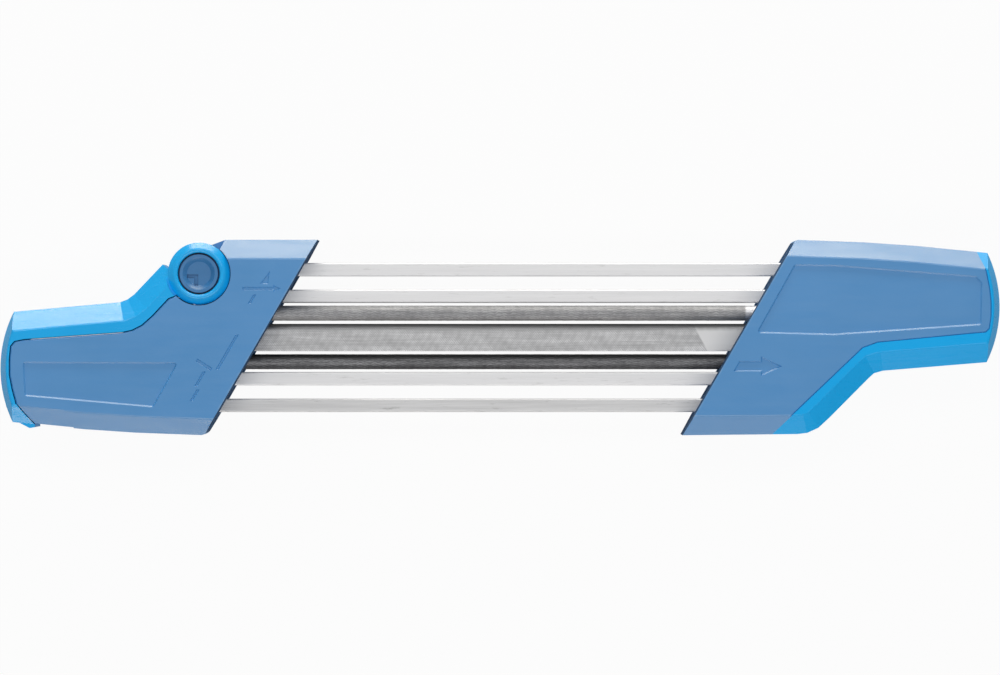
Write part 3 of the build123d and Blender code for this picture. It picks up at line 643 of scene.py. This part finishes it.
def rounded_section(half_width, half_height, corner, per_side, per_end):
    """Outline of a bar with rounded arrises, counter-clockwise, as (y, z) rows and the
    outward direction at each: straight runs between four quarter circles."""
    flat = np.linspace(-1.0, 1.0, per_side)
    upright = np.linspace(-1.0, 1.0, per_end)
    run, rise = half_width - corner, half_height - corner
    bend = np.linspace(0.0, np.pi / 2, ARRIS_STEPS + 1)[1:-1, None]
    rows, outward = [], []
    for quarter in range(4):
        turn = quarter * np.pi / 2
        right = np.array([np.cos(turn), np.sin(turn)])
        up = np.array([-np.sin(turn), np.cos(turn)])
        half_across, half_up = (run, rise) if quarter % 2 == 0 else (rise, run)
        share = upright if quarter % 2 == 0 else flat
        spokes = np.cos(bend) * right + np.sin(bend) * up
        rows += [right * (half_across + corner) + share[:, None] * half_up * up,
                 right * half_across + up * half_up + corner * spokes]
        outward += [np.tile(right, (len(share), 1)), spokes]
    return np.concatenate(rows), np.concatenate(outward)


def cut_flat_file():
    """Flat file in the box of its CAD solid. Its section is a bar with rounded
    arrises; the broad faces sink by depth * (1 - tooth), where the tooth height comes
    from a saw wave on lines that lean 40 degrees from square to X and a wider, weaker
    one that leans 55 degrees the other way, and both are made uneven by slow waves.
    Near the +Y edge both faces fall away by drop * share^2, where share grows from 0
    to 1 over the worn width. The cut ends on a slant and leaves a plain tail."""
    low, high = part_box("flat_file")
    half_width, half_height = (high.y - low.y) / 2, (high.z - low.z) / 2
    centre_z = (low.z + high.z) / 2
    section, outward = rounded_section(half_width, half_height, FLAT_ARRIS,
                                       FLAT_ACROSS, FLAT_UP)
    along, across = np.meshgrid(length_rows(low.x, high.x, FLAT_ROWS), section[:, 0],
                                indexing="ij")
    upright = section[None, :, 1]
    outward_y, outward_z = outward[None, :, 0], outward[None, :, 1]
    waver = uneven(along, 0.5 * across / MM)
    first = saw_tooth((along + across * math.tan(FLAT_LEAN)) / FLAT_PITCH
                      + FLAT_SWAY * waver, FLAT_RISE)
    second = saw_tooth((along - across * math.tan(FLAT_CROSS_LEAN)) / FLAT_CROSS_PITCH
                       - FLAT_SWAY * waver, FLAT_CROSS_RISE)
    tooth = tooth_height(first, second, FLAT_CROSS_SHARE, waver)
    cut_end = FLAT_CUT_END - FLAT_CUT_SLANT * across / half_width
    shank = smooth_step(along, cut_end - FLAT_CUT_BLEND, cut_end + FLAT_CUT_BLEND)
    depth = outward_z ** 2 * cut_depth(FLAT_DEPTH, tooth, shank, FLAT_SHANK_SINK)
    shrink = end_shrink(along, low.x, high.x)
    y = across - depth * outward_y - shrink * np.sign(across)
    share = np.clip((across - half_width + FLAT_WORN_WIDTH) / FLAT_WORN_WIDTH, 0.0, 1.0)
    worn = FLAT_WORN_DROP * share ** 2 * upright / half_height
    z = upright - depth * outward_z - worn
    rings = np.stack([along, y, centre_z + z], axis=-1)
    # Painted shade along the +Y edge, where the front round file shades the face, kept in the
    # 'scale' attribute.
    scale = FLAT_SHADE_STRENGTH * smooth_step(
        across + FLAT_SHADE_SWAY * (waver - 0.5),
        half_width - FLAT_SHADE_WIDTH, half_width - FLAT_SHADE_FULL_WIDTH)
    piece = skin_over_rings("flat_file_cut", rings,
                            {"tooth": tooth, "shank": shank, "scale": scale})
    piece.data.materials.append(FLAT_FILE_METAL)
    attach(piece, "flat")
    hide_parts("flat_file")


# ----------------------------------------------------------------- the studio

def soft_lamp(name, place, aim, width, height, power, colour):
    """Rectangular soft lamp at a place, turned to a point, not seen by the camera."""
    data = bpy.data.lights.new(name, "AREA")
    data.shape = "RECTANGLE"
    data.size, data.size_y = width, height
    data.energy = power
    data.color = colour
    lamp = bpy.data.objects.new(name, data)
    lamp.location = place
    lamp.rotation_euler = (Vector(aim) - Vector(place)).to_track_quat("-Z", "Y").to_euler()
    lamp.visible_camera = False
    bpy.context.scene.collection.objects.link(lamp)


def build_studio():
    """Even pale room that the camera sees as white, two long lamps above and two low
    strips along the sides."""
    world = bpy.data.worlds.new("pale_room")
    bpy.context.scene.world = world
    world.use_nodes = True
    tree = world.node_tree
    room = tree.nodes["Background"]
    set_inputs(room, Color=(1.0, 1.0, 1.0, 1.0), Strength=ROOM_STRENGTH)
    shown = add_node(tree, "ShaderNodeBackground")
    set_inputs(shown, Color=(1.0, 1.0, 1.0, 1.0), Strength=1.0)
    path = add_node(tree, "ShaderNodeLightPath")
    mix_shaders(tree, path.outputs["Is Camera Ray"], room.outputs["Background"],
                shown.outputs["Background"], "World Output")
    above = dict(aim=(0.0, 0.0, 0.0), width=1.2, height=0.35, power=4.5,
                 colour=(1.0, 1.0, 1.0))
    soft_lamp("upper_long_lamp", place=(0.0, 0.62, 1.1), **above)
    soft_lamp("lower_long_lamp", place=(0.0, -0.62, 1.1), **above)
    soft_lamp("pivot_side_lamp", place=(0.0, 0.97, 0.19), aim=(0.0, 0.0, 0.02),
              width=0.9, height=0.17, power=5.6, colour=(1.0, 0.97, 0.91))
    soft_lamp("lower_side_lamp", place=(0.0, -0.97, 0.10), aim=(0.0, 0.0, 0.02),
              width=0.9, height=0.08, power=1.5, colour=(1.0, 0.94, 0.88))


def build_floor():
    """Pale floor as a wide sheet under the rear faces. Most of what the camera sees of
    it is its own even glow, and the small rest is paper that takes the tool's shadow."""
    line = FLOOR_CELLS + 1
    across = np.linspace(-FLOOR_REACH, FLOOR_REACH, line)
    x, y = np.meshgrid(across, across, indexing="ij")
    points = np.stack([x, y, np.zeros_like(x)], axis=-1).reshape(-1, 3)
    row, column = np.meshgrid(np.arange(FLOOR_CELLS), np.arange(FLOOR_CELLS), indexing="ij")
    start = row * line + column
    faces = np.stack([start, start + line, start + line + 1, start + 1],
                     axis=-1).reshape(-1, 4)
    mesh = bpy.data.meshes.new("studio_floor")
    mesh.from_pydata(points.tolist(), [], faces.tolist())
    mesh.update()
    floor = bpy.data.objects.new("studio_floor", mesh)
    bpy.context.scene.collection.objects.link(floor)
    material, tree, shader = start_material("studio_paper")
    set_inputs(shader, Roughness=0.9)
    place = add_node(tree, "ShaderNodeTexCoord").outputs["Object"]
    fibre = noise(tree, place, **PAPER_FIBRE)
    paper = mix_colour(tree, fibre, (0.59, 0.59, 0.59, 1), (0.62, 0.62, 0.62, 1))
    tree.links.new(paper, shader.inputs["Base Color"])
    glow = add_node(tree, "ShaderNodeEmission")
    set_inputs(glow, Color=(1.0, 1.0, 1.0, 1.0), Strength=1.0)
    path = add_node(tree, "ShaderNodeLightPath")
    seen = maths(tree, "MAXIMUM", path.outputs["Is Camera Ray"],
                 path.outputs["Is Transmission Ray"])
    mix_shaders(tree, maths(tree, "MULTIPLY", seen, FLOOR_GLOW_SHARE),
                shader.outputs["BSDF"], glow.outputs["Emission"], "Material Output")
    mesh.materials.append(material)


def build_camera():
    """Camera straight above, far off, that shows the photograph's width at the height
    of the handles' upper walls."""
    data = bpy.data.cameras.new("photo_camera")
    data.sensor_width = SENSOR_WIDTH
    data.lens = SENSOR_WIDTH * CAMERA_DISTANCE / SHOWN_WIDTH
    camera = bpy.data.objects.new("photo_camera", data)
    camera.location = (0.0, 0.0, SHOWN_HEIGHT + CAMERA_DISTANCE)
    bpy.context.scene.collection.objects.link(camera)
    bpy.context.scene.camera = camera


bpy.context.scene.view_settings.view_transform = "Standard"
build_camera()
build_studio()
build_floor()
finish_nodes()
cut_round_file("round_file_front", "round_file_front_cut", "front_round", FRONT_CUT_END,
               FRONT_FILE_METAL, shade_share=0.0)
cut_round_file("round_file_rear", "round_file_rear_cut", "rear_round", REAR_CUT_END,
               SHADED_REAR_FILE_METAL, shade_share=0.7)
cut_flat_file()
